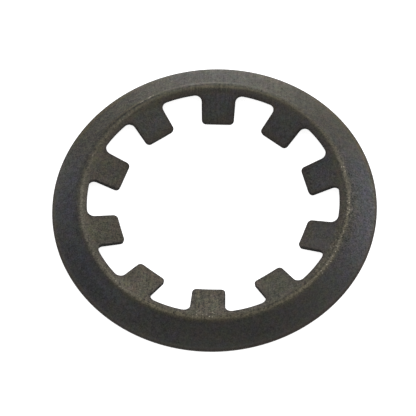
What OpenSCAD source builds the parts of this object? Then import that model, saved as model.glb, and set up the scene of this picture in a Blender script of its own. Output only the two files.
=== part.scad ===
// Push-on retaining ring: one stamped piece of spring steel sheet.
// A dished rim slopes down and outward from a bent crest, and a crown of prongs slopes
// down and inward from it. The straight prong tips grip a plain shaft without a groove.
// The rim's lower edge is at z = 0, and the shaft runs along Z.

/* [Shaft] */
// Diameter of the shaft that the ring is pushed onto
shaft_d = 20; // [12:0.5:30]
// How much smaller than the shaft the circle inside the prong tips is
shaft_grip = 0.55; // [0.2:0.05:1]

/* [Sheet] */
// Thickness of the sheet
sheet_t = 0.4; // [0.25:0.05:0.6]

/* [Prongs] */
// Number of prongs round the shaft
prong_count = 10; // [6:1:12]
// Length of a prong from its tip to the gap circle, in plan
prong_l = 3.1; // [2:0.1:4]
// Width of a prong across its tip, with the corners square
prong_tip_w = 3.2; // [2:0.1:4]
// Lean of each side of a prong, wider towards the gap circle
prong_taper = 2.5; // [0:0.5:5]
// Slope of the prongs down towards the shaft
prong_angle = 18; // [8:1:22]
// Radius of the corners of a prong's tip
tip_corner_r = 0.45; // [0.1:0.05:0.9]
// Radius of the fillets between the prongs and the gap circle
gap_fillet_r = 0.65; // [0.1:0.05:1]

/* [Crest] */
// Width of the unbroken band from the gap circle to the crest, in plan
band_w = 0.65; // [0.4:0.05:2]
// Radius inside the bend at the crest
bend_r = 0.6; // [0.2:0.05:1]

/* [Rim] */
// Width of the rim from the crest to the outer edge, in plan
rim_w = 3.025; // [2.5:0.025:5]
// Slope of the rim down towards its outer edge
rim_angle = 27; // [22:1:40]
// Rounding of the rim's outer edge
rim_edge_r = 0.1; // [0.05:0.01:0.12]

/* [Hidden] */
$fn = 120;

// How far a rounding disc reaches past the edges that it rounds, so that it crosses them
disc_over = 0.004;
// How far the sheet runs on inside the prong tips before it is trimmed
trim_over = 0.5;

// Circles in plan, from the shaft outward, on the sheet's upper side
tip_r = (shaft_d - shaft_grip) / 2;
gap_r = tip_r + prong_l;
crest_r = gap_r + band_w;
outer_r = crest_r + rim_w;

// Upper corner of the rim's end, placed so that the rounded end reaches outer_r and z = 0
rim_edge_reach = rim_edge_r + disc_over;
rim_end_r = outer_r - rim_edge_reach + rim_edge_r * (cos(rim_angle) + sin(rim_angle));
rim_end_z = rim_edge_reach - rim_edge_r * sin(rim_angle) + (sheet_t - rim_edge_r) * cos(rim_angle);

// Centre of the bend, up the rim's slope from that corner
bend_top_r = bend_r + sheet_t;
rim_l = (rim_end_r - crest_r - bend_top_r * sin(rim_angle)) / cos(rim_angle);
bend_z = rim_end_z + rim_l * sin(rim_angle) - bend_top_r * cos(rim_angle);

// The prongs' part of the section, from the bend to inside the tips
prong_start_r = crest_r - bend_top_r * sin(prong_angle);
prong_start_z = bend_z + bend_top_r * cos(prong_angle);
prong_section_l = (prong_start_r - tip_r + trim_over) / cos(prong_angle);

// The prongs' upper side is part of a cone: its apex, and the circles as distances down its slope
apex_z = prong_start_z - prong_start_r * tan(prong_angle);
slope_tip_r = tip_r / cos(prong_angle);
slope_gap_r = gap_r / cos(prong_angle);
slope_crest_r = crest_r / cos(prong_angle);

// One side of a prong in the plane of the sheet, with the apex at the origin and the prong along +Y
side_run = [sin(prong_taper), cos(prong_taper)];
side_out = [cos(prong_taper), -sin(prong_taper)];
side_off = side_out * [prong_tip_w / 2, slope_tip_r];

// Centres of the tip corner and of the fillet on that side
corner_y = slope_tip_r + tip_corner_r;
corner_c = [(side_off - tip_corner_r - corner_y * side_out.y) / side_out.x, corner_y];
fillet_off = side_off + gap_fillet_r;
fillet_run = sqrt(pow(slope_gap_r - gap_fillet_r, 2) - pow(fillet_off, 2));
fillet_c = side_out * fillet_off + side_run * fillet_run;

// What a disc of radius r, centred on the outline's first point, leaves of the outline
module round_off(outline, r) {
    difference() {
        polygon(outline);
        translate(outline[0]) circle(r = r + disc_over);
    }
}

// The area under a line that falls away on both sides of a round crest of radius r
module hill(r, drop, over) {
    prong_run = prong_section_l + over;
    circle(r = r);
    rotate(-rim_angle) translate([0, -drop]) square([rim_l + over, r + drop]);
    rotate(prong_angle) translate([-prong_run, -drop]) square([prong_run, r + drop]);
}

// What is cut from the corners of the rim's end, with the rim lying along +X and its end at x = 0
module rim_end_waste() {
    reach = 2 * rim_edge_r;
    corner = [[0, 0], [reach, 0], [reach, reach], [0, reach]];
    translate([-rim_edge_r, sheet_t - rim_edge_r]) round_off(corner, rim_edge_r);
    translate([-rim_edge_r, rim_edge_r]) mirror([0, 1]) round_off(corner, rim_edge_r);
}

// The sheet from the outer edge to inside the prong tips, as [radius, height]
module sheet_section() {
    translate([crest_r, bend_z]) difference() {
        hill(bend_top_r, 0, 0);
        hill(bend_r, 2 * bend_top_r, trim_over);
        rotate(-rim_angle) translate([rim_l, bend_r]) rim_end_waste();
    }
}

// The fillet on one side of a prong, from inside the prong to past the gap circle
module gap_fillet() {
    inside = fillet_c - side_out * 2 * gap_fillet_r;
    past = (slope_gap_r + gap_fillet_r) / (slope_gap_r - gap_fillet_r);
    round_off([fillet_c, inside, inside + side_run * 2 * gap_fillet_r, fillet_c * past], gap_fillet_r);
}

// What is cut from one corner of a prong's tip
module tip_corner_waste() {
    below = [corner_c.x, slope_tip_r - tip_corner_r];
    beside = corner_c + side_out * 2 * tip_corner_r;
    round_off([corner_c, below, [beside.x, below.y], beside], tip_corner_r);
}

// One prong in the plane of the sheet, running out past the gap circle
module prong_outline() {
    tip = prong_tip_w / 2;
    root = tip + (slope_crest_r - slope_tip_r) * tan(prong_taper);
    difference() {
        union() {
            polygon([
                [-tip, slope_tip_r],
                [tip, slope_tip_r],
                [root, slope_crest_r],
                [-root, slope_crest_r]
            ]);
            for (side = [0, 1]) mirror([side, 0]) gap_fillet();
        }
        for (side = [0, 1]) mirror([side, 0]) tip_corner_waste();
    }
}

// A prong's outline carried square through the sheet, above and below it
module prong_block() {
    above = 2 * sheet_t;
    below = 3 * sheet_t;
    translate([0, 0, apex_z]) rotate([prong_angle, 0, 0])
        translate([0, 0, -below]) linear_extrude(above + below) prong_outline();
}

// All inside the gap circle, as a slab along the prongs' cone whose wall is square to the sheet
module gap_slab() {
    above = sheet_t;
    below = 2 * sheet_t;
    edge = [gap_r, apex_z + gap_r * tan(prong_angle)];
    up = [-sin(prong_angle), cos(prong_angle)];
    rotate_extrude() polygon([
        [0, apex_z - below / up.y],
        edge - up * below,
        edge + up * above,
        [0, apex_z + above / up.y]
    ]);
}

module retaining_ring() {
    color([0.2, 0.2, 0.19]) difference() {
        rotate_extrude() sheet_section();
        difference() {
            gap_slab();
            for (i = [0 : prong_count - 1]) rotate(i * 360 / prong_count) prong_block();
        }
    }
}

retaining_ring();
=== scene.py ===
"""Looks of the push-on retaining ring: a stamped, phosphated spring steel ring that lies on a pale floor."""

import logging
import math
from dataclasses import dataclass, field
from enum import Enum

import bpy
import numpy as np
from mathutils import Matrix, Vector


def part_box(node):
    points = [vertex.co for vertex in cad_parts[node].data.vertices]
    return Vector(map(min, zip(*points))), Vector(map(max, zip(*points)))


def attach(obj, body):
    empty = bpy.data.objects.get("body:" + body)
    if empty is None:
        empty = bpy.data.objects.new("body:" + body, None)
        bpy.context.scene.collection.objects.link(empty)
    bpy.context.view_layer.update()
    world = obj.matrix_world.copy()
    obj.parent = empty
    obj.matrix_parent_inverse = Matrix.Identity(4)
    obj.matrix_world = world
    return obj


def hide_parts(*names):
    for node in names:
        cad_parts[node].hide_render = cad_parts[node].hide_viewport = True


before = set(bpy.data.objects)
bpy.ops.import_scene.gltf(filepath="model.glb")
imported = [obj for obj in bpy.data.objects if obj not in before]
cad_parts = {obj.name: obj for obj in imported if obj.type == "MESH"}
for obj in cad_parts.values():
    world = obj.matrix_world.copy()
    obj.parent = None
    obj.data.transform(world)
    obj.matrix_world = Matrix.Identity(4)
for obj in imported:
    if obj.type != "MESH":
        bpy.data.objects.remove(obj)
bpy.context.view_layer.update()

LOG = logging.getLogger("retaining_ring")
RING_NODE = "retaining_ring"
RING_PIECE = "ring_sheet"
ROOT_BODY = "root"
MM = 0.001
PHOTO_PX = 416
UPPER_MARK = "upper_side"
EDGE_MARK = "cut_edge"
DEPTH_MARK = "wall_depth"

# Numbers of the Mix node's sockets for colours
MIX_MASK, MIX_FIRST, MIX_SECOND, MIX_RESULT = 0, 6, 7, 2

Colour = tuple[float, float, float]
Place = tuple[float, float, float]

WHITE: Colour = (1.0, 1.0, 1.0)
ALL_ROUND = 180.0
NOISE_MIDDLE = 0.5


class Face(Enum):
    """The two kinds of surface on the ring, by material slot."""

    SHEET = 0
    CUT = 1


class NodeTree:
    """Short ways to add and link shader nodes in one tree."""

    def __init__(self, tree: bpy.types.NodeTree) -> None:
        """Wrap a material's, world's or group's node tree."""
        self.tree = tree

    def add(self, kind: str, settings: dict | None = None, inputs: dict | None = None) -> bpy.types.Node:
        """Add a node.

        Args:
            kind: The node's class name without the prefix ShaderNode.
            settings: Properties of the node.
            inputs: Values or output sockets for its inputs, by name or number.

        Returns:
            The new node.
        """
        node = self.tree.nodes.new(f"ShaderNode{kind}")
        for name, value in (settings or {}).items():
            setattr(node, name, value)
        for key, value in (inputs or {}).items():
            self.feed(node.inputs[key], value)
        return node

    def feed(self, socket: bpy.types.NodeSocket, value: object) -> None:
        """Link an output socket to an input, or set the input's own value.

        Args:
            socket: The input.
            value: An output socket, or a number, colour or vector.
        """
        if isinstance(value, bpy.types.NodeSocket):
            self.tree.links.new(value, socket)
        elif socket.type == "RGBA":
            socket.default_value = (*value, 1.0)
        else:
            socket.default_value = value

    def math(self, operation: str, *values: object) -> bpy.types.NodeSocket:
        """Add a Math node with its inputs in order."""
        return self.add("Math", {"operation": operation}, dict(enumerate(values))).outputs[0]

    def clamp(self, value: object) -> bpy.types.NodeSocket:
        """Keep a value from 0 to 1."""
        return self.add("Clamp", inputs={"Value": value}).outputs[0]

    def ramp(self, value: object, low: float, high: float) -> bpy.types.NodeSocket:
        """Turn a value into a smooth mask.

        Args:
            value: The value.
            low: Where the mask is 0.
            high: Where the mask is 1, which may be below low.

        Returns:
            The mask's socket.
        """
        low_mask, high_mask = (0.0, 1.0) if low < high else (1.0, 0.0)
        inputs = {"Value": value, "From Min": min(low, high), "From Max": max(low, high)}
        inputs |= {"To Min": low_mask, "To Max": high_mask}
        return self.add("MapRange", {"interpolation_type": "SMOOTHSTEP"}, inputs).outputs[0]

    def noise(self, place: object, scale: float, octaves: float, weight: float) -> bpy.types.NodeSocket:
        """Read a noise texture of so many waves for each unit of length."""
        inputs = {"Vector": place, "Scale": scale, "Detail": octaves, "Roughness": weight}
        return self.add("TexNoise", {"noise_dimensions": "3D"}, inputs).outputs["Fac"]

    def attribute(self, name: str) -> bpy.types.NodeSocket:
        """Read one of the mesh's own marks by its name."""
        return self.add("Attribute", {"attribute_name": name}).outputs["Fac"]

    def vector(self, operation: str, *values: object, output: str = "Vector") -> bpy.types.NodeSocket:
        """Add a Vector Math node with its inputs in order, and give the wanted output."""
        return self.add("VectorMath", {"operation": operation}, dict(enumerate(values))).outputs[output]

    def scale(self, vector: object, factor: object) -> bpy.types.NodeSocket:
        """Multiply a vector or a colour by a number."""
        return self.add("VectorMath", {"operation": "SCALE"}, {0: vector, "Scale": factor}).outputs["Vector"]

    def mix(self, mask: object, first: object, second: object) -> bpy.types.NodeSocket:
        """Mix two colours: a mask of 0 gives the first, and 1 the second."""
        inputs = {MIX_MASK: mask, MIX_FIRST: first, MIX_SECOND: second}
        return self.add("Mix", {"data_type": "RGBA"}, inputs).outputs[MIX_RESULT]

    def cast(self, colour: object, mask: object, first: object, second: object) -> bpy.types.NodeSocket:
        """Multiply a colour by a mix of two casts."""
        return self.vector("MULTIPLY", colour, self.mix(mask, first, second))


@dataclass(frozen=True)
class Section:
    """The sheet's upper side as a curve of height over radius: prongs' cone, bend and rim's cone."""

    crest_r: float
    crest_z: float
    bend_r: float
    prong_angle: float
    rim_angle: float

    @property
    def prong_end_r(self) -> float:
        """Radius at which the prongs' cone meets the bend."""
        return self.crest_r - self.bend_r * math.sin(self.prong_angle)

    @property
    def rim_start_r(self) -> float:
        """Radius at which the bend meets the rim's cone."""
        return self.crest_r + self.bend_r * math.sin(self.rim_angle)

    def lean(self, r: np.ndarray) -> np.ndarray:
        """Give how far the surface normal leans outward from the shaft's axis, by radius."""
        bend = np.arcsin(np.clip((r - self.crest_r) / self.bend_r, -1.0, 1.0))
        return np.clip(bend, -self.prong_angle, self.rim_angle)

    def height(self, r: np.ndarray) -> np.ndarray:
        """Give the height of the upper side.

        Args:
            r: Radii.

        Returns:
            Heights above the floor.
        """
        lean = self.lean(r)
        touch_r = self.crest_r + self.bend_r * np.sin(lean)
        touch_z = self.crest_z - self.bend_r * (1.0 - np.cos(lean))
        return touch_z - (r - touch_r) * np.tan(lean)

    def point(self, xy: np.ndarray) -> np.ndarray:
        """Lift points from the plan to the upper side."""
        return np.column_stack([xy, self.height(np.hypot(xy[:, 0], xy[:, 1]))])

    def normal(self, xy: np.ndarray) -> np.ndarray:
        """Give the surface normals over points of the plan.

        Args:
            xy: Points in plan.

        Returns:
            Unit normals.
        """
        r = np.hypot(xy[:, 0], xy[:, 1])
        lean = self.lean(r)
        return np.column_stack([xy / r[:, None] * np.sin(lean)[:, None], np.cos(lean)])


def arc_points(centre: np.ndarray, radius: float, angles: np.ndarray) -> np.ndarray:
    """Give points in a plane on a circle, at angles from its first axis."""
    return centre + radius * np.column_stack([np.cos(angles), np.sin(angles)])


@dataclass
class RetainingRing:
    """The whole ring: one stamped and formed piece of sheet, as a closed mesh of four-sided faces."""

    # Formed sheet, from the solid's outer radius and height
    outer_r: float
    crest_z: float
    sheet_t: float = 0.4 * MM
    crest_r: float = 13.475 * MM
    bend_inside_r: float = 0.6 * MM
    prong_angle: float = math.radians(18.0)
    rim_angle: float = math.radians(27.0)

    # Pierced outline: prongs and gaps, a little off the rim's centre
    prong_count: int = 10
    tip_r: float = 9.65 * MM
    gap_r: float = 12.745 * MM
    prong_tip_w: float = 3.26 * MM
    prong_taper: float = math.radians(2.5)
    tip_corner_r: float = 0.45 * MM
    gap_fillet_r: float = 0.65 * MM
    pierce_offset: tuple[float, float] = (-0.08 * MM, -0.045 * MM)

    # Soft edges that stamping leaves, and how far from a cut edge its marks reach
    upper_edge_r: float = 0.06 * MM
    lower_edge_r: float = 0.035 * MM
    rim_roll_r: float = 0.15 * MM
    rim_under_r: float = 0.127 * MM
    rim_margin: float = 0.004 * MM
    edge_reach: float = 1.0 * MM

    # Steps along half a prong and half a gap, and rows across the section
    tip_steps: int = 5
    corner_steps: int = 6
    flank_steps: int = 8
    fillet_steps: int = 7
    gap_steps: int = 6
    prong_rows: int = 11
    bend_rows: int = 8
    rim_rows: int = 9
    edge_rows: int = 4
    row_crowding: float = 1.5

    section: Section = field(init=False)

    def __post_init__(self) -> None:
        """Work out the section from the sizes."""
        bend_r = self.bend_inside_r + self.sheet_t
        self.section = Section(self.crest_r, self.crest_z, bend_r, self.prong_angle, self.rim_angle)

    def half_outline(self) -> np.ndarray:
        """Draw half of one prong and of the gap beside it, on the flat sheet.

        Returns:
            Points from the middle of the tip to the middle of the gap, with the cone's apex as origin.
        """
        cos_slope = math.cos(self.prong_angle)
        tip_y, gap_y = self.tip_r / cos_slope, self.gap_r / cos_slope
        run = np.array([math.sin(self.prong_taper), math.cos(self.prong_taper)])
        out = np.array([run[1], -run[0]])
        flank_off = out @ np.array([self.prong_tip_w / 2, tip_y])
        corner_y = tip_y + self.tip_corner_r
        corner = np.array([(flank_off - self.tip_corner_r - corner_y * out[1]) / out[0], corner_y])
        fillet_off = flank_off + self.gap_fillet_r
        fillet_run = math.sqrt((gap_y - self.gap_fillet_r) ** 2 - fillet_off**2)
        fillet = out * fillet_off + run * fillet_run
        turn = math.pi / 2 - self.prong_taper
        corner_angles = -math.pi / 2 + np.linspace(0.0, turn, self.corner_steps, endpoint=False)
        flank_start = corner + out * self.tip_corner_r
        flank_end = fillet - out * self.gap_fillet_r
        start_angle = math.pi - self.prong_taper
        end_angle = math.atan2(fillet[1], fillet[0])
        fillet_angles = np.linspace(start_angle, end_angle, self.fillet_steps, endpoint=False)
        half_sector = math.asin(math.sin(math.pi / self.prong_count) * cos_slope)
        gap_angles = np.linspace(math.pi / 2 - end_angle, half_sector, self.gap_steps + 1)
        tip_x = np.linspace(0.0, corner[0], self.tip_steps, endpoint=False)
        flank = np.linspace(0.0, 1.0, self.flank_steps, endpoint=False)[:, None]
        return np.vstack([
            np.column_stack([tip_x, np.full(self.tip_steps, tip_y)]),
            arc_points(corner, self.tip_corner_r, corner_angles),
            flank_start + (flank_end - flank_start) * flank,
            arc_points(fillet, self.gap_fillet_r, fillet_angles),
            gap_y * np.column_stack([np.sin(gap_angles), np.cos(gap_angles)]),
        ])

    def loops(self) -> tuple[np.ndarray, np.ndarray]:
        """Carry the half outline round the ring.

        Returns:
            The cut edge in plan, and the angle of each of its points on the unbroken band.
        """
        flat_x, flat_y = self.half_outline().T
        depth = (math.cos(self.prong_angle) * flat_y) ** 2 - (math.sin(self.prong_angle) * flat_x) ** 2
        half = np.column_stack([flat_x, np.sqrt(depth)])
        own_angle = np.arctan2(half[:, 0], half[:, 1])
        prong_steps = len(half) - self.gap_steps - 1
        band_angle = own_angle.copy()
        band_angle[:prong_steps] = own_angle[prong_steps] * np.arange(prong_steps) / prong_steps
        mirrored = half[1:-1][::-1] * np.array([-1.0, 1.0])
        x, y = np.vstack([half, mirrored]).T
        sector_angle = np.concatenate([band_angle, -band_angle[1:-1][::-1]])
        of_next_prong = np.arange(len(x)) >= len(half)
        edge, angle = [], []
        for index in range(self.prong_count):
            turn = 2 * math.pi / self.prong_count * (index + of_next_prong)
            cos_turn, sin_turn = np.cos(turn), np.sin(turn)
            edge.append(np.column_stack([x * cos_turn + y * sin_turn, y * cos_turn - x * sin_turn]))
            angle.append(sector_angle + turn)
        return np.vstack(edge) + np.array(self.pierce_offset), np.concatenate(angle)

    def along_cut_edge(self, edge: np.ndarray) -> tuple[np.ndarray, np.ndarray, np.ndarray]:
        """Give the points of the cut edge in space, and the directions there.

        Args:
            edge: The cut edge in plan.

        Returns:
            Its points on the upper side, the directions into the sheet and the surface normals.
        """
        points = self.section.point(edge)
        normals = self.section.normal(edge)
        along = np.roll(points, -1, axis=0) - np.roll(points, 1, axis=0)
        along /= np.linalg.norm(along, axis=1)[:, None]
        inward = np.cross(along, normals)
        inward /= np.linalg.norm(inward, axis=1)[:, None]
        if inward[0] @ points[0] < 0:
            inward = -inward
        return points, inward, normals

    def rounding(
        self, corner: np.ndarray, inward: np.ndarray, up: np.ndarray, radius: float
    ) -> list[np.ndarray]:
        """Round one edge of a cut wall.

        Args:
            corner: Where the wall would meet the face.
            inward: Directions along the face into the sheet.
            up: Directions out of the face.
            radius: Radius of the rounding.

        Returns:
            Rows from the face to the wall.
        """
        centre = corner + (inward - up) * radius
        turns = np.linspace(0.0, math.pi / 2, self.edge_rows + 1)
        return [centre + radius * (up * math.cos(turn) - inward * math.sin(turn)) for turn in turns]

    def polar_row(self, r: float, angle: np.ndarray) -> np.ndarray:
        """Give a circle's points in plan, at angles from the first prong, clockwise from above."""
        return r * np.column_stack([np.sin(angle), np.cos(angle)])

    def face_rows(
        self, angle: np.ndarray, inset: np.ndarray, depth: float, end_r: float
    ) -> list[np.ndarray]:
        """Lay rows across one face of the sheet, from beside the cut edge to beside the rim's end.

        Args:
            angle: Angle of each column on the band.
            inset: The face's first row, beside the cut edge, in plan.
            depth: How deep the face lies under the upper side.
            end_r: Radius at which the face ends.

        Returns:
            The rows.
        """
        section = self.section
        band = self.polar_row(section.prong_end_r, angle)
        shares = np.linspace(0.0, 1.0, self.prong_rows + 1)[1:-1] ** self.row_crowding
        plan = [inset + (band - inset) * share for share in shares]
        leans = np.linspace(-self.prong_angle, self.rim_angle, self.bend_rows + 1)
        radii = [section.crest_r + section.bend_r * math.sin(lean) for lean in leans]
        radii += list(np.linspace(section.rim_start_r, end_r, self.rim_rows + 1)[1:-1])
        plan += [self.polar_row(r, angle) for r in radii]
        return [section.point(xy) - section.normal(xy) * depth for xy in plan]

    def edge_nearness(self, edge: np.ndarray, row: np.ndarray) -> np.ndarray:
        """Measure how near a row's points are to the cut edge.

        Args:
            edge: The cut edge in plan.
            row: The row.

        Returns:
            1 on the edge, falling to 0 at the edge's reach in plan.
        """
        along = np.roll(edge, -1, axis=0) - edge
        apart = row[:, None, :2] - edge[None]
        share = np.clip((apart * along).sum(axis=2) / (along * along).sum(axis=1), 0.0, 1.0)
        gap = np.linalg.norm(apart - share[..., None] * along, axis=2).min(axis=1)
        return np.clip(1.0 - gap / self.edge_reach, 0.0, 1.0)

    def rim_end(self, angle: np.ndarray) -> tuple[list[np.ndarray], list[np.ndarray], float, float]:
        """Round the rim's outer end.

        Args:
            angle: Angle of each column on the band.

        Returns:
            Rows of the upper and of the lower rounding, and the radii at which the two faces end.
        """
        cos_lean, sin_lean = math.cos(self.rim_angle), math.sin(self.rim_angle)
        end_r = self.outer_r - self.rim_margin + self.rim_roll_r * (cos_lean + sin_lean - 1.0)
        end = self.section.point(self.polar_row(end_r, angle))
        radial = self.polar_row(1.0, angle)
        back = np.column_stack([-radial * cos_lean, np.full(len(angle), sin_lean)])
        up = np.column_stack([radial * sin_lean, np.full(len(angle), cos_lean)])
        upper = self.rounding(end, back, up, self.rim_roll_r)
        lower = self.rounding(end - up * self.sheet_t, back, -up, self.rim_under_r)[::-1]
        return upper, lower, end_r - self.rim_roll_r * cos_lean, end_r - self.rim_under_r * cos_lean

    def rows(self) -> tuple[list[np.ndarray], list[Face], dict[str, np.ndarray]]:
        """Lay all rows round the section, each a closed loop round the ring.

        Returns:
            The rows, the kind of face between each row and the next, and the marks of the points by name.
        """
        edge, angle = self.loops()
        points, inward, normals = self.along_cut_edge(edge)
        inner_top = self.rounding(points, inward, normals, self.upper_edge_r)[::-1]
        inner_low = self.rounding(points - normals * self.sheet_t, inward, -normals, self.lower_edge_r)
        outer_top, outer_low, top_end, low_end = self.rim_end(angle)
        low_inset = points + inward * self.lower_edge_r
        top = self.face_rows(angle, inner_top[-1][:, :2], 0.0, top_end)
        low = self.face_rows(angle, low_inset[:, :2], self.sheet_t, low_end)[::-1]
        rows = inner_top + top + outer_top + outer_low + low + inner_low
        outer_wall = len(inner_top) + len(top) + len(outer_top) - 1
        wall_share = self.edge_rows // 2
        kinds = [Face.SHEET] * len(rows)
        kinds[outer_wall] = Face.CUT
        kinds[:wall_share] = [Face.CUT] * wall_share
        kinds[-1 - wall_share:] = [Face.CUT] * (wall_share + 1)
        upper = np.arange(len(rows)) <= outer_wall
        marks = {
            UPPER_MARK: np.repeat(upper, len(edge)).astype(float),
            DEPTH_MARK: np.repeat(~upper, len(edge)).astype(float),
            EDGE_MARK: np.concatenate([self.edge_nearness(edge, row) for row in rows]),
        }
        return rows, kinds, marks

    def build(self) -> bpy.types.Object:
        """Make the ring's mesh and put it in the place of the plain solid.

        Returns:
            The ring.
        """
        rows, kinds, marks = self.rows()
        count, width = len(rows), len(rows[0])
        faces, slots = [], []
        for row in range(count):
            below = (row + 1) % count
            for column in range(width):
                right = (column + 1) % width
                first, second = row * width, below * width
                faces.append((first + column, first + right, second + right, second + column))
                slots.append(kinds[row].value)
        mesh = bpy.data.meshes.new(RING_PIECE)
        mesh.from_pydata(np.vstack(rows).tolist(), [], faces)
        mesh.polygons.foreach_set("material_index", slots)
        for name, values in marks.items():
            mesh.attributes.new(name, "FLOAT", "POINT").data.foreach_set("value", values)
        mesh.shade_smooth()
        mesh.update()
        ring = bpy.data.objects.new(RING_PIECE, mesh)
        bpy.context.scene.collection.objects.link(ring)
        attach(ring, ROOT_BODY)
        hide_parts(RING_NODE)
        return ring

    def dress(self, ring: bpy.types.Object, sheet: bpy.types.Material, cut: bpy.types.Material) -> None:
        """Give the ring the materials of its sheet and of its cut walls, in the order of Face."""
        ring.data.materials.append(sheet)
        ring.data.materials.append(cut)


class RingMaterial(NodeTree):
    """A new material of the ring, with its shader's inputs and the place on the ring in millimetres."""

    def __init__(self, name: str) -> None:
        """Start the material.

        Args:
            name: Its name.
        """
        self.material = bpy.data.materials.new(name)
        self.material.use_nodes = True
        super().__init__(self.material.node_tree)
        self.shader = self.tree.nodes["Principled BSDF"].inputs
        self.place = self.scale(self.add("TexCoord").outputs["Object"], 1.0 / MM)

    def coated(self, coat: bpy.types.NodeTree, streaks: object) -> bpy.types.bpy_prop_collection:
        """Read the coat's group on the ring, with streaks of the given strength."""
        return self.add("Group", {"node_tree": coat}, {"Place": self.place, "Streaks": streaks}).outputs

    def bump(self, height: object, depth_mm: float) -> bpy.types.NodeSocket:
        """Turn a height into a normal, with the depth in millimetres."""
        return self.add("Bump", inputs={"Distance": depth_mm * MM, "Height": height}).outputs["Normal"]

    def set_shader(self, values: dict[str, object]) -> None:
        """Set or link the shader's inputs by name."""
        for name, value in values.items():
            self.feed(self.shader[name], value)


@dataclass(frozen=True)
class Layer:
    """One layer of noise: size of its spots in millimetres, finer octaves, their weight and an offset."""

    size: float
    octaves: float
    weight: float = 0.5
    offset: Place = (0.0, 0.0, 0.0)

    def value(self, nodes: NodeTree, place: object) -> bpy.types.NodeSocket:
        """Read the layer at a place in millimetres."""
        moved = nodes.vector("ADD", place, self.offset)
        return nodes.noise(moved, 1.0 / self.size, self.octaves, self.weight)


@dataclass(frozen=True)
class PhosphateCoat:
    """Shader node group for the grain of a phosphate coat, shared by all finishes of the ring."""

    patch: Layer = Layer(3.6, 2.0)
    mottle: Layer = Layer(0.34, 2.0, 0.6)
    grain: Layer = Layer(0.13, 1.0)
    fleck: Layer = Layer(0.75, 3.0, 0.7, (31.0, 17.0, 5.0))
    tint: Layer = Layer(1.1, 3.0, 0.6, (7.0, 43.0, 19.0))
    streak: Layer = Layer(1.0, 1.0)
    streak_across_mm: float = 0.13
    streak_along_mm: float = 1.8
    patch_contrast: float = 0.5
    mottle_contrast: float = 1.1
    grain_contrast: float = 1.6
    streak_contrast: float = 0.3
    fleck_contrast: float = 2.2
    tint_contrast: float = 3.3
    mottle_height: float = 0.8

    def spread(
        self, nodes: NodeTree, value: object, contrast: object, middle: object
    ) -> bpy.types.NodeSocket:
        """Spread a noise value to both sides of a new middle."""
        return nodes.math("MULTIPLY_ADD", nodes.math("SUBTRACT", value, NOISE_MIDDLE), contrast, middle)

    def build(self) -> bpy.types.NodeTree:
        """Make the group.

        Returns:
            A group from a place in millimetres to a tone around 1, two tints from 0 to 1 and a bump height.
        """
        tree = bpy.data.node_groups.new("Phosphate Coat", "ShaderNodeTree")
        tree.interface.new_socket("Place", in_out="INPUT", socket_type="NodeSocketVector")
        tree.interface.new_socket("Streaks", in_out="INPUT", socket_type="NodeSocketFloat")
        nodes = NodeTree(tree)
        given = tree.nodes.new("NodeGroupInput").outputs
        place = given["Place"]
        patch = self.patch.value(nodes, place)
        mottle = self.mottle.value(nodes, place)
        grain = self.grain.value(nodes, place)
        along = 1.0 / self.streak_along_mm
        stretched = nodes.vector("MULTIPLY", place, (1.0 / self.streak_across_mm, along, along))
        streak_contrast = nodes.math("MULTIPLY", given["Streaks"], self.streak_contrast)
        tone = self.spread(nodes, patch, self.patch_contrast, 1.0)
        tone = self.spread(nodes, mottle, self.mottle_contrast, tone)
        tone = self.spread(nodes, grain, self.grain_contrast, tone)
        tone = self.spread(nodes, self.streak.value(nodes, stretched), streak_contrast, tone)
        warmth = self.spread(nodes, self.fleck.value(nodes, place), self.fleck_contrast, patch)
        green = self.spread(nodes, self.tint.value(nodes, place), self.tint_contrast, NOISE_MIDDLE)
        results = {
            "Tone": tone,
            "Warmth": nodes.clamp(warmth),
            "Green": nodes.clamp(green),
            "Height": nodes.math("MULTIPLY_ADD", mottle, self.mottle_height, grain),
        }
        for name in results:
            tree.interface.new_socket(name, in_out="OUTPUT", socket_type="NodeSocketFloat")
        outputs = tree.nodes.new("NodeGroupOutput").inputs
        for name, value in results.items():
            nodes.feed(outputs[name], value)
        return tree


@dataclass(frozen=True)
class Spot:
    """Where a material is read: its nodes, the direction from the shaft in plan and the radius."""

    nodes: NodeTree
    unit: bpy.types.NodeSocket
    r: bpy.types.NodeSocket

    @classmethod
    def at(cls, nodes: NodeTree, place: object) -> "Spot":
        """Measure a place in millimetres from the shaft's axis."""
        plan = nodes.vector("MULTIPLY", place, (1.0, 1.0, 0.0))
        return cls(nodes, nodes.vector("NORMALIZE", plan), nodes.vector("LENGTH", plan, output="Value"))


@dataclass(frozen=True)
class Fade:
    """A smooth mask over a value: where it is 0, and where it is 1."""

    low: float
    high: float

    def mask(self, nodes: NodeTree, value: object) -> bpy.types.NodeSocket:
        """Make the mask of a value."""
        return nodes.ramp(value, self.low, self.high)


@dataclass(frozen=True)
class Side:
    """A soft side of the ring: its direction in degrees from +X, and a fade over the cosine from it."""

    angle: float
    fade: Fade

    def mask(self, spot: Spot) -> bpy.types.NodeSocket:
        """Make the side's mask.

        Args:
            spot: Where it is read.

        Returns:
            The mask's socket.
        """
        turn = math.radians(self.angle)
        way = (math.cos(turn), math.sin(turn), 0.0)
        cosine = spot.nodes.vector("DOT_PRODUCT", spot.unit, way, output="Value")
        return self.fade.mask(spot.nodes, cosine)


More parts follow.
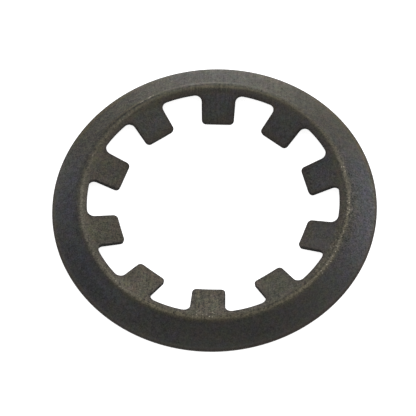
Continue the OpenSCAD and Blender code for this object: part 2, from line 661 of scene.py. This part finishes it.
@dataclass(frozen=True)
class Arc:
    """A soft mark along an arc of the upper side.

    Its radius and half width are in millimetres, and its middle and half length in degrees from +X.
    """

    r: float
    half_w: float
    amount: float
    angle: float = 0.0
    half_angle: float = ALL_ROUND

    def mask(self, spot: Spot) -> bpy.types.NodeSocket:
        """Make the arc's mask.

        Args:
            spot: Where it is read.

        Returns:
            A mask from 0 to 1, without ends where the arc runs all round.
        """
        nodes = spot.nodes
        off = nodes.math("ABSOLUTE", nodes.math("SUBTRACT", spot.r, self.r))
        across = nodes.ramp(off, self.half_w, 0.0)
        if self.half_angle >= ALL_ROUND:
            return across
        along = Side(self.angle, Fade(math.cos(math.radians(self.half_angle)), 1.0))
        return nodes.math("MULTIPLY", across, along.mask(spot))


Arcs = tuple[Arc, ...]


def add_up(arcs: Arcs, spot: Spot) -> bpy.types.NodeSocket:
    """Add up soft marks.

    Args:
        arcs: The marks.
        spot: Where they are read.

    Returns:
        Their sum, on the upper side alone.
    """
    total: object = 0.0
    for arc in arcs:
        total = spot.nodes.math("MULTIPLY_ADD", arc.mask(spot), arc.amount, total)
    return spot.nodes.math("MULTIPLY", total, spot.nodes.attribute(UPPER_MARK))


@dataclass(frozen=True)
class SheetFinish:
    """Dark oiled phosphate on the faces of the sheet, rubbed along the crest and the outer edge, with
    painted highlights and painted shade laid over the coat.
    """

    name: str = "phosphated_sheet"
    metallic: float = 0.5
    specular: float = 0.385
    roughness: float = 0.48
    bump_mm: float = 0.008

    # Colours of the coat by place, of the coat where it is rubbed and carries a painted highlight, and of
    # bare steel
    near_rim: Colour = (0.0400, 0.0385, 0.0345)
    far_rim: Colour = (0.0442, 0.0398, 0.0282)
    cool: Colour = (0.0402, 0.0398, 0.0436)
    prong_grey: Colour = (0.0428, 0.0424, 0.0410)
    olive: Colour = (0.0439, 0.0385, 0.0254)
    brown: Colour = (0.0354, 0.0285, 0.0239)
    rubbed_and_lit: Colour = (0.1150, 0.1020, 0.0700)
    steel: Colour = (0.46, 0.42, 0.35)

    # Casts that the colours are multiplied by
    cool_cast: Colour = (0.92, 0.99, 1.16)
    warm_cast: Colour = (1.07, 1.00, 0.82)
    violet_cast: Colour = (1.07, 0.95, 1.07)
    green_cast: Colour = (0.93, 1.05, 0.93)
    tip_cast: Colour = (1.05, 0.985, 0.86)
    blue_cast: Colour = (0.96, 0.99, 1.13)
    leaf_cast: Colour = (0.96, 1.01, 0.95)
    tan_cast: Colour = (1.06, 0.98, 0.55)

    # Zones of colour: the rim's far side, the olive side of the prongs, the band and the prong tips
    far_side: Side = Side(90.0, Fade(-0.2, 0.7))
    olive_side: Side = Side(236.0, Fade(-1.0, 1.0))
    band_fade: Fade = Fade(12.3, 13.0)
    band_olive: float = 0.85
    inner_fade: Fade = Fade(14.15, 13.7)
    tip_fade: Fade = Fade(10.9, 9.9)

    # Rolling streaks, strongest on the far side and on the near prongs
    plain_streaks: float = 0.6
    far_streaks: float = 2.4
    far_streak_side: Side = Side(82.0, Fade(0.75, 1.0))
    near_streaks: float = 2.6
    near_streak_side: Side = Side(262.0, Fade(0.6, 1.0))
    prong_fade: Fade = Fade(14.0, 13.4)

    # Strength of the grain: more of it away from the far side, and less on the near rim
    away_grain: float = 0.4
    away_side: Side = Side(90.0, Fade(0.9, 0.3))
    near_grain: float = -0.55
    near_side: Side = Side(270.0, Fade(0.3, 0.8))
    rim_fade: Fade = Fade(13.5, 14.0)
    grain_gloss: float = -0.2

    # Cut edges: browner in flecks, and painted shade darkens the coat close to the edge
    brown_fade: Fade = Fade(0.4, 0.95)
    brown_plain: float = 0.3
    brown_flecks: float = 0.7
    edge_shade_fade: Fade = Fade(0.83, 0.96)
    edge_painted_shade: float = -0.3

    # Rub along the crest that also paints a highlight there, whose circle lies a little off the shaft's
    # axis, and specks worn to bare steel
    rub_highlight_shift: Place = (0.085, -0.055, 0.0)
    rub_highlight_breaks: Layer = Layer(0.4167, 3.0, 0.65)
    rub_highlight_contrast: float = 1.5
    rub_highlight_least: float = 0.05
    rub_gloss: float = -0.06
    speck_spots: Layer = Layer(0.1923, 1.0)
    speck_fade: Fade = Fade(0.6, 0.72)

    # Painted light all round: on the band and on the rim's outer half, and a painted highlight line along
    # the rim's edge
    round_painted_light: Arcs = (
        Arc(13.0, 0.45, 0.22),
        Arc(16.5, 1.5, 0.15),
        Arc(16.22, 0.2, 0.22),
    )
    # Painted highlight and painted shade lines along the bend
    bend_highlight_and_shade: Arcs = (
        Arc(13.92, 0.32, -0.22, 0.0, 34.0),
        Arc(13.95, 0.22, 0.36, 95.0, 14.0),
        Arc(13.52, 0.2, 0.30, 100.0, 40.0),
        Arc(14.02, 0.22, 0.48, 104.0, 42.0),
        Arc(13.80, 0.16, -0.34, 106.0, 40.0),
        Arc(14.05, 0.20, -0.16, 121.0, 8.0),
        Arc(13.7, 0.2, -0.14, 121.0, 9.0),
        Arc(14.08, 0.16, 0.22, 126.0, 16.0),
        Arc(13.80, 0.15, -0.36, 132.0, 20.0),
        Arc(13.54, 0.15, 0.34, 134.0, 22.0),
        Arc(13.92, 0.35, -0.42, 150.0, 30.0),
        Arc(14.0, 0.3, -0.12, 182.0, 22.0),
        Arc(14.03, 0.3, -0.20, 268.0, 24.0),
    )
    # Painted light and painted shade in stretches of the band and of the prongs' roots
    band_light_and_shade: Arcs = (
        Arc(12.95, 0.32, -0.26, 88.0, 48.0),
        Arc(12.5, 0.7, 0.12, 100.0, 75.0),
        Arc(13.0, 0.5, 0.12, 222.0, 42.0),
        Arc(12.5, 0.7, -0.14, 258.0, 32.0),
        Arc(13.1, 0.3, -0.14, 268.0, 12.0),
        Arc(13.05, 0.35, -0.16, 275.0, 22.0),
    )
    # Patches of painted light and painted shade on the rim, and a painted highlight line along its left near
    # edge
    rim_light_and_shade: Arcs = (
        Arc(14.2, 0.9, -0.14, 0.0, 37.0),
        Arc(14.6, 0.8, -0.06, 28.0, 26.0),
        Arc(14.7, 0.6, -0.06, 76.0, 16.0),
        Arc(15.6, 1.4, 0.13, 90.0, 26.0),
        Arc(14.3, 0.7, -0.07, 116.0, 14.0),
        Arc(15.0, 0.7, 0.22, 128.0, 9.0),
        Arc(15.9, 0.6, -0.16, 141.0, 14.0),
        Arc(15.3, 1.7, -0.27, 142.0, 26.0),
        Arc(15.6, 1.2, 0.14, 170.0, 15.0),
        Arc(15.6, 1.4, -0.18, 212.0, 26.0),
        Arc(16.26, 0.18, 0.25, 225.0, 75.0),
        Arc(14.6, 0.9, 0.14, 229.0, 20.0),
        Arc(14.6, 0.8, -0.09, 268.0, 20.0),
        Arc(15.2, 1.7, -0.12, 294.0, 26.0),
        Arc(15.2, 1.6, 0.08, 318.0, 18.0),
    )
    # Painted light and painted shade on single prongs
    prong_light_and_shade: Arcs = (
        Arc(11.2, 1.9, 0.06, 18.0, 14.0),
        Arc(11.2, 1.9, 0.26, 126.0, 16.0),
        Arc(11.2, 1.9, 0.10, 162.0, 14.0),
        Arc(11.2, 1.9, 0.07, 234.0, 14.0),
        Arc(10.1, 0.6, 0.22, 234.0, 14.0),
        Arc(11.6, 1.9, -0.20, 270.0, 14.0),
        Arc(11.4, 1.9, -0.06, 306.0, 14.0),
        Arc(11.2, 1.9, -0.05, 342.0, 14.0),
    )
    # Stronger and weaker grain on the rim and on single prongs
    grains: Arcs = (
        Arc(15.2, 1.8, -0.45, 0.0, 40.0),
        Arc(15.2, 1.8, 0.45, 135.0, 30.0),
        Arc(15.2, 1.8, 0.40, 240.0, 24.0),
        Arc(11.4, 2.2, 0.60, 126.0, 16.0),
        Arc(11.4, 2.2, -0.25, 306.0, 16.0),
        Arc(11.4, 2.2, -0.45, 342.0, 18.0),
    )
    # Cool grey on the rim's two sides, on one prong and on the far band
    cools: Arcs = (
        Arc(15.3, 1.9, 1.00, -4.0, 40.0),
        Arc(15.3, 1.9, 0.30, 92.0, 24.0),
        Arc(15.3, 1.9, 1.00, 196.0, 44.0),
        Arc(11.2, 2.2, 0.75, 18.0, 18.0),
        Arc(12.9, 0.6, 0.55, 62.0, 44.0),
    )
    # Olive along the rim's far edge, and beside the bend
    olives: Arcs = (
        Arc(16.3, 0.45, 0.9, 40.0, 40.0),
        Arc(16.3, 0.45, 0.9, 132.0, 28.0),
        Arc(14.1, 0.3, 0.4, 300.0, 14.0),
        Arc(14.2, 0.45, 0.4, 350.0, 20.0),
    )
    # Brown along the rim's edge, and in three spots beside the bend
    browns: Arcs = (
        Arc(16.40, 0.32, 0.50),
        Arc(16.44, 0.26, 0.55, -32.0, 80.0),
        Arc(16.2, 0.50, 0.40, 140.0, 18.0),
        Arc(13.95, 0.35, 0.45, 136.0, 14.0),
        Arc(14.35, 0.55, 0.40, 144.0, 9.0),
        Arc(14.15, 0.45, 0.35, 218.0, 10.0),
    )
    # Bluer stretches of the bend and of the rim beside it, and one bluer prong
    bluer: Arcs = (
        Arc(13.3, 0.7, 0.8, 10.0, 24.0),
        Arc(14.2, 0.7, 0.7, 24.0, 20.0),
        Arc(14.05, 0.3, 0.6, 100.0, 24.0),
        Arc(14.4, 1.1, 1.0, 190.0, 42.0),
        Arc(13.5, 0.7, 0.8, 192.0, 42.0),
        Arc(14.5, 1.1, 1.0, 229.0, 20.0),
        Arc(13.2, 0.9, 0.9, 231.0, 9.0),
        Arc(13.5, 0.35, 0.7, 335.0, 14.0),
        Arc(11.6, 2.2, 0.5, 342.0, 18.0),
    )
    # One greener prong
    greener: Arcs = (Arc(11.6, 2.0, 1.0, 306.0, 14.0),)
    # Tan oil along the far bend and the rim's edge
    tanner: Arcs = (
        Arc(13.9, 0.25, 0.4, 116.0, 12.0),
        Arc(13.95, 0.4, 1.0, 137.0, 15.0),
        Arc(16.3, 0.4, 0.3, 8.0, 14.0),
        Arc(16.3, 0.4, 0.65, 38.0, 24.0),
        Arc(16.2, 0.5, 1.0, 140.0, 20.0),
        Arc(16.3, 0.4, 0.25, 205.0, 34.0),
    )
    # The rub and painted highlight along the crest: all round first, then where it is stronger or weaker
    rub_and_highlight_arcs: Arcs = (
        Arc(13.49, 0.22, 0.50),
        Arc(13.49, 0.55, 0.30),
        Arc(13.50, 0.25, 0.35, -25.0, 50.0),
        Arc(13.60, 0.18, 0.35, 0.0, 8.0),
        Arc(13.40, 0.22, 0.55, 18.0, 9.0),
        Arc(13.49, 0.45, -0.25, 62.0, 30.0),
        Arc(13.45, 0.25, 0.20, 88.0, 20.0),
        Arc(13.42, 0.22, 0.30, 90.0, 9.0),
        Arc(13.49, 0.45, -0.30, 118.0, 30.0),
        Arc(13.50, 0.25, 0.45, 181.0, 12.0),
        Arc(13.52, 0.30, 1.00, 221.0, 7.0),
        Arc(13.50, 0.38, 0.50, 226.0, 66.0),
        Arc(13.50, 0.25, 0.65, 241.0, 8.0),
        Arc(13.52, 0.40, -0.26, 270.0, 16.0),
        Arc(13.52, 0.35, 0.26, 302.0, 24.0),
        Arc(13.62, 0.18, 0.40, 331.0, 9.0),
        Arc(13.40, 0.20, 0.30, 342.0, 8.0),
    )
    # Stretches with specks worn to bare steel
    worn: Arcs = (
        Arc(13.58, 0.30, 0.80, -33.0, 13.0),
        Arc(13.05, 0.45, 0.30, -20.0, 24.0),
        Arc(13.50, 0.30, 0.45, -12.0, 46.0),
        Arc(13.52, 0.26, 0.90, 0.0, 7.0),
        Arc(13.48, 0.26, 0.90, 18.5, 4.0),
        Arc(14.10, 0.20, 0.90, 122.5, 5.0),
        Arc(13.49, 0.26, 0.40, 140.0, 9.0),
        Arc(13.49, 0.26, 0.40, 175.0, 30.0),
        Arc(13.50, 0.30, 0.60, 228.0, 9.0),
        Arc(13.36, 0.35, 0.90, 268.0, 6.0),
        Arc(12.80, 0.70, 0.22, 268.0, 9.0),
    )

    @property
    def painted_light_and_shade(self) -> Arcs:
        """All painted light and shade marks."""
        return self.round_painted_light + self.bend_highlight_and_shade + self.band_light_and_shade + self.rim_light_and_shade + self.prong_light_and_shade

    def streaks(self, spot: Spot) -> bpy.types.NodeSocket:
        """Give the strength of the rolling streaks.

        Args:
            spot: Where it is read.

        Returns:
            The strength's socket.
        """
        nodes = spot.nodes
        far = self.far_streak_side.mask(spot)
        far = nodes.math("MULTIPLY_ADD", far, self.far_streaks, self.plain_streaks)
        near = nodes.math("MULTIPLY", self.near_streak_side.mask(spot), self.prong_fade.mask(nodes, spot.r))
        return nodes.math("MULTIPLY_ADD", near, self.near_streaks, far)

    def speckle(self, spot: Spot, tone: object) -> bpy.types.NodeSocket:
        """Set how strongly the grain shows.

        Args:
            spot: Where it is read.
            tone: The coat's tone around 1.

        Returns:
            The grain's own light and dark around 0.
        """
        nodes = spot.nodes
        near_rim = nodes.math("MULTIPLY", self.near_side.mask(spot), self.rim_fade.mask(nodes, spot.r))
        strength = nodes.math("MULTIPLY_ADD", self.away_side.mask(spot), self.away_grain, 1.0)
        strength = nodes.math("MULTIPLY_ADD", near_rim, self.near_grain, strength)
        strength = nodes.math("ADD", strength, add_up(self.grains, spot))
        return nodes.math("MULTIPLY", nodes.math("SUBTRACT", tone, 1.0), strength)

    def zone_colour(self, spot: Spot, grain: bpy.types.bpy_prop_collection) -> bpy.types.NodeSocket:
        """Tint the coat by place: olive on the band and the near prongs, cool on the rim's two sides.

        Args:
            spot: Where it is read.
            grain: Outputs of the coat's group.

        Returns:
            The colour's socket.
        """
        nodes = spot.nodes
        rim = nodes.mix(self.far_side.mask(spot), self.near_rim, self.far_rim)
        band = nodes.math("MULTIPLY", self.band_fade.mask(nodes, spot.r), self.band_olive)
        inner_olive = nodes.math("MAXIMUM", self.olive_side.mask(spot), band)
        inner = nodes.mix(inner_olive, self.prong_grey, self.olive)
        colour = nodes.mix(self.inner_fade.mask(nodes, spot.r), rim, inner)
        colour = nodes.mix(add_up(self.cools, spot), colour, self.cool)
        colour = nodes.mix(add_up(self.olives, spot), colour, self.olive)
        colour = nodes.cast(colour, self.tip_fade.mask(nodes, spot.r), WHITE, self.tip_cast)
        colour = nodes.cast(colour, grain["Warmth"], self.cool_cast, self.warm_cast)
        return nodes.cast(colour, grain["Green"], self.violet_cast, self.green_cast)

    def brown_edges(self, spot: Spot, edge: object, warmth: object) -> bpy.types.NodeSocket:
        """Brown the cut edges and the rim's edge.

        Args:
            spot: Where it is read.
            edge: Nearness of the cut edge, from 0 to 1.
            warmth: The coat's warm flecks.

        Returns:
            The brown's mask.
        """
        nodes = spot.nodes
        flecks = nodes.math("MULTIPLY_ADD", warmth, self.brown_flecks, self.brown_plain)
        brown = nodes.clamp(nodes.math("MULTIPLY", self.brown_fade.mask(nodes, edge), flecks))
        return nodes.clamp(nodes.math("ADD", brown, add_up(self.browns, spot)))

    def crest_rub_and_highlight(self, nodes: RingMaterial) -> tuple[bpy.types.NodeSocket, bpy.types.NodeSocket]:
        """Wear the coat along the crest, and paint a highlight over the rub.

        Args:
            nodes: The material's nodes.

        Returns:
            Masks of the rubbed coat with its painted highlight, and of the specks of bare steel.
        """
        spot = Spot.at(nodes, nodes.vector("SUBTRACT", nodes.place, self.rub_highlight_shift))
        breaks = self.rub_highlight_breaks.value(nodes, nodes.place)
        breaks = nodes.clamp(nodes.math("MULTIPLY_ADD", breaks, self.rub_highlight_contrast, self.rub_highlight_least))
        spots = self.speck_fade.mask(nodes, self.speck_spots.value(nodes, nodes.place))
        rub_and_highlight = nodes.clamp(nodes.math("MULTIPLY", add_up(self.rub_and_highlight_arcs, spot), breaks))
        specks = nodes.clamp(nodes.math("MULTIPLY", add_up(self.worn, spot), spots))
        return rub_and_highlight, specks

    def material(self, coat: bpy.types.NodeTree) -> bpy.types.Material:
        """Build the material.

        Args:
            coat: The coat's node group.

        Returns:
            The material.
        """
        nodes = RingMaterial(self.name)
        spot = Spot.at(nodes, nodes.place)
        grain = nodes.coated(coat, self.streaks(spot))
        speckle = self.speckle(spot, grain["Tone"])
        edge = nodes.attribute(EDGE_MARK)
        brown = self.brown_edges(spot, edge, grain["Warmth"])
        colour = nodes.mix(brown, self.zone_colour(spot, grain), self.brown)
        # Painted shade darkens the coat close to the cut edges
        level = nodes.math("MULTIPLY_ADD", self.edge_shade_fade.mask(nodes, edge), self.edge_painted_shade, 1.0)
        # Painted light and painted shade marks raise or lower the coat's colour
        level = nodes.math("ADD", level, add_up(self.painted_light_and_shade, spot))
        colour = nodes.scale(colour, nodes.math("ADD", level, speckle))
        # The rub along the crest is wear with a painted highlight on it
        rub_and_highlight, specks = self.crest_rub_and_highlight(nodes)
        rubbed_and_lit = nodes.scale(self.rubbed_and_lit, nodes.math("ADD", speckle, 1.0))
        colour = nodes.mix(rub_and_highlight, colour, rubbed_and_lit)
        colour = nodes.cast(colour, add_up(self.bluer, spot), WHITE, self.blue_cast)
        colour = nodes.cast(colour, add_up(self.greener, spot), WHITE, self.leaf_cast)
        colour = nodes.cast(colour, add_up(self.tanner, spot), WHITE, self.tan_cast)
        rough = nodes.math("MULTIPLY_ADD", speckle, self.grain_gloss, self.roughness)
        nodes.set_shader({
            "Base Color": nodes.mix(specks, colour, self.steel),
            "Metallic": nodes.math("MULTIPLY_ADD", specks, 1.0 - self.metallic, self.metallic),
            "Specular IOR Level": self.specular,
            "Roughness": nodes.math("MULTIPLY_ADD", rub_and_highlight, self.rub_gloss, rough),
            "Normal": nodes.bump(grain["Height"], self.bump_mm),
        })
        return nodes.material


@dataclass(frozen=True)
class CutFinish:
    """Sheared wall: burnished in its upper part, torn and darker below."""

    name: str = "sheared_wall"
    metallic: float = 0.0
    specular: float = 0.05
    roughness: float = 0.8
    torn_roughness: float = 0.14
    burnished: Colour = (0.0470, 0.0445, 0.0410)
    torn: Colour = (0.0330, 0.0315, 0.0292)
    torn_fade: Fade = Fade(0.55, 0.72)
    wander: Layer = Layer(0.6667, 2.0)
    wander_depth: float = 0.5
    bump_mm: float = 0.006
    burnished_relief: float = 0.3
    torn_relief: float = 0.7
    streaks: float = 0.0

    def material(self, coat: bpy.types.NodeTree) -> bpy.types.Material:
        """Build the material.

        Args:
            coat: The coat's node group.

        Returns:
            The material.
        """
        nodes = RingMaterial(self.name)
        grain = nodes.coated(coat, self.streaks)
        wander = self.wander.value(nodes, nodes.place)
        depth = nodes.math("MULTIPLY_ADD", wander, self.wander_depth, nodes.attribute(DEPTH_MARK))
        torn = self.torn_fade.mask(nodes, depth)
        relief = nodes.math("MULTIPLY_ADD", torn, self.torn_relief, self.burnished_relief)
        height = nodes.math("MULTIPLY", grain["Height"], relief)
        nodes.set_shader({
            "Base Color": nodes.scale(nodes.mix(torn, self.burnished, self.torn), grain["Tone"]),
            "Metallic": self.metallic,
            "Specular IOR Level": self.specular,
            "Roughness": nodes.math("MULTIPLY_ADD", torn, self.torn_roughness, self.roughness),
            "Normal": nodes.bump(height, self.bump_mm),
        })
        return nodes.material


@dataclass(frozen=True)
class Lamp:
    """One soft box that faces the ring: angles in degrees from +Y and from the floor, lengths in metres."""

    name: str
    azimuth: float
    elevation: float
    width: float
    height: float
    radiance: float
    distance: float = 0.5

    def build(self) -> None:
        """Hang the lamp and turn it to the ring."""
        light = bpy.data.lights.new(self.name, "AREA")
        light.shape = "RECTANGLE"
        light.size = self.width
        light.size_y = self.height
        light.energy = self.radiance * math.pi * self.width * self.height
        lamp = bpy.data.objects.new(self.name, light)
        turn, rise = math.radians(self.azimuth), math.radians(self.elevation)
        way = Vector((math.sin(turn) * math.cos(rise), math.cos(turn) * math.cos(rise), math.sin(rise)))
        lamp.location = way * self.distance
        lamp.rotation_euler = way.to_track_quat("Z", "Y").to_euler()
        lamp.visible_camera = False
        bpy.context.scene.collection.objects.link(lamp)


LAMPS = (
    Lamp("back_box", 0.0, 20.5, 0.30, 0.335, 2.35),
    Lamp("right_back_box", 52.0, 34.0, 0.30, 0.24, 3.75),
    Lamp("left_back_box", -36.0, 28.0, 0.30, 0.24, 0.9),
)


@dataclass
class Studio:
    """Floor, lamps, world and camera: angles in degrees, the view in the photograph's pixels."""

    floor_size: float = 20.0
    floor_colour: Colour = (0.86, 0.86, 0.86)
    floor_lift: float = 0.85
    world_level: float = 0.62
    camera_distance: float = 264.0 * MM
    camera_elevation: float = 60.19
    camera_azimuth: float = 5.7
    camera_roll: float = -3.57
    focal_px: float = 2599.0
    sensor_mm: float = 36.0
    centre_px: tuple[float, float] = (214.34, 207.4)

    def build_floor(self) -> None:
        """Lay the pale floor, which is white where it is seen and keeps the ring's shadow."""
        half = self.floor_size / 2
        mesh = bpy.data.meshes.new("floor")
        corners = [(-half, -half, 0.0), (half, -half, 0.0), (half, half, 0.0), (-half, half, 0.0)]
        mesh.from_pydata(corners, [], [(0, 1, 2, 3)])
        floor = bpy.data.objects.new("floor", mesh)
        bpy.context.scene.collection.objects.link(floor)
        material = bpy.data.materials.new("pale_floor")
        material.use_nodes = True
        nodes = NodeTree(material.node_tree)
        material.node_tree.nodes.clear()
        path = nodes.add("LightPath")
        seen = nodes.math("MAXIMUM", path.outputs["Is Camera Ray"], path.outputs["Is Glossy Ray"])
        seen = nodes.math("MAXIMUM", seen, path.outputs["Is Transmission Ray"])
        diffuse = nodes.add("BsdfDiffuse", inputs={"Color": self.floor_colour})
        glow = nodes.add("Emission", inputs={"Strength": nodes.math("MULTIPLY", seen, self.floor_lift)})
        both = nodes.add("AddShader", inputs={0: diffuse.outputs[0], 1: glow.outputs[0]})
        nodes.add("OutputMaterial", inputs={"Surface": both.outputs[0]})
        mesh.materials.append(material)

    def build_world(self) -> None:
        """Set the even light from all round."""
        world = bpy.data.worlds.new("studio")
        bpy.context.scene.world = world
        world.use_nodes = True
        world.node_tree.nodes.clear()
        nodes = NodeTree(world.node_tree)
        sky = nodes.add("Background", inputs={"Color": WHITE, "Strength": self.world_level})
        nodes.add("OutputWorld", inputs={"Surface": sky.outputs[0]})

    def build_camera(self) -> None:
        """Set the camera at the photograph's viewing angle."""
        data = bpy.data.cameras.new("camera")
        data.sensor_width = self.sensor_mm
        data.lens = self.focal_px / PHOTO_PX * self.sensor_mm
        data.shift_x = (PHOTO_PX / 2 - self.centre_px[0]) / PHOTO_PX
        data.shift_y = (self.centre_px[1] - PHOTO_PX / 2) / PHOTO_PX
        camera = bpy.data.objects.new("camera", data)
        turn, rise = math.radians(self.camera_azimuth), math.radians(self.camera_elevation)
        back = Vector((math.sin(turn) * math.cos(rise), -math.cos(turn) * math.cos(rise), math.sin(rise)))
        facing = (-back).to_track_quat("-Z", "Y").to_matrix().to_4x4()
        roll = Matrix.Rotation(math.radians(self.camera_roll), 4, "Z")
        camera.matrix_world = Matrix.Translation(back * self.camera_distance) @ facing @ roll
        bpy.context.scene.collection.objects.link(camera)
        bpy.context.scene.camera = camera

    def build(self) -> None:
        """Set up the whole studio."""
        bpy.context.scene.view_settings.view_transform = "Standard"
        self.build_world()
        self.build_floor()
        for lamp in LAMPS:
            lamp.build()
        self.build_camera()


def main() -> None:
    """Build the studio and the ring, and report each piece."""
    logging.basicConfig(level=logging.INFO)
    Studio().build()
    top_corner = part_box(RING_NODE)[1]
    shape = RetainingRing(outer_r=top_corner.x, crest_z=top_corner.z)
    ring = shape.build()
    coat = PhosphateCoat().build()
    shape.dress(ring, SheetFinish().material(coat), CutFinish().material(coat))
    LOG.info("%s: %d faces", ring.name, len(ring.data.polygons))


if __name__ == "__main__":
    main()
